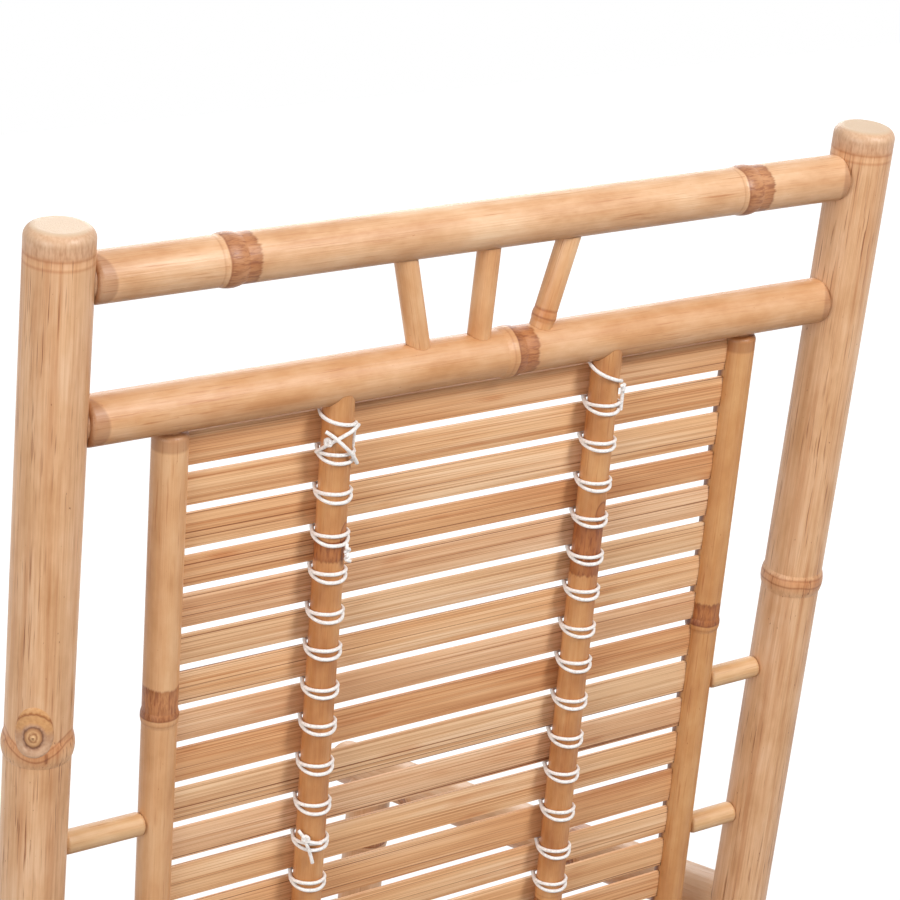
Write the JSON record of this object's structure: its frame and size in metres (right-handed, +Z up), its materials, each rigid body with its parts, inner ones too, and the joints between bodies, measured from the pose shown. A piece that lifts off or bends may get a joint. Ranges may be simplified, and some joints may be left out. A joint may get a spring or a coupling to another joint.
{
  "type": "rocking chair",
  "caption": "Bamboo rocking chair with a raked back and seat of split slats laced to thin poles, level arms, a fan of spindles under the top rail and bent rockers.",
  "frame": {"origin": "on the floor at the middle of the chair's width and depth", "axes": "+Z up, -Y the way the chair faces, +X to the sitter's left"},
  "size_m": [0.6231, 0.8938, 1.0869],
  "materials": {
    "culm_thick": "satin bamboo skin",
    "culm_rail": "satin bamboo skin",
    "culm_thin": "satin bamboo skin",
    "slat": "split bamboo, fibres showing",
    "cord": "white laid cord"
  },
  "bodies": {
    "root": {"left_rear_post": "culm_thick", "right_rear_post": "culm_thick", "left_front_leg": "culm_thick", "right_front_leg": "culm_thick", "left_arm": "culm_thick", "right_arm": "culm_thick", "left_rocker": "culm_thick", "right_rocker": "culm_thick", "top_rail": "culm_rail", "second_rail": "culm_rail", "seat_front_rail": "culm_rail", "seat_rear_rail": "culm_rail", "left_seat_side_rail": "culm_rail", "right_seat_side_rail": "culm_rail", "front_stretcher": "culm_rail", "rear_stretcher": "culm_rail", "fan_spindle_left": "culm_thin", "fan_spindle_centre": "culm_thin", "fan_spindle_right": "culm_thin", "back_side_pole_left": "culm_rail", "back_side_pole_right": "culm_rail", "seat_side_pole_left": "culm_rail", "seat_side_pole_right": "culm_rail", "back_dowel_left_upper": "culm_thin", "back_dowel_left_lower": "culm_thin", "back_dowel_right_upper": "culm_thin", "back_dowel_right_lower": "culm_thin", "back_lacing_pole_left": "culm_thin", "back_lacing_pole_right": "culm_thin", "seat_lacing_pole_left": "culm_thin", "seat_lacing_pole_right": "culm_thin", "back_lacing_cord_left": "cord", "back_lacing_cord_right": "cord", "seat_lacing_cord_left": "cord", "seat_lacing_cord_right": "cord", "seat_slats": "slat", "back_slat_01": "slat", "back_slat_02": "slat", "back_slat_03": "slat", "back_slat_04": "slat", "back_slat_05": "slat", "back_slat_06": "slat", "back_slat_07": "slat", "back_slat_08": "slat", "back_slat_09": "slat", "back_slat_10": "slat", "back_slat_11": "slat", "back_slat_12": "slat", "back_slat_13": "slat", "back_slat_14": "slat", "back_slat_15": "slat", "back_slat_16": "slat", "back_slat_17": "slat", "back_slat_18": "slat", "back_slat_19": "slat", "back_slat_20": "slat", "back_slat_21": "slat", "back_slat_22": "slat", "back_slat_23": "slat"}
  },
  "joints": []
}
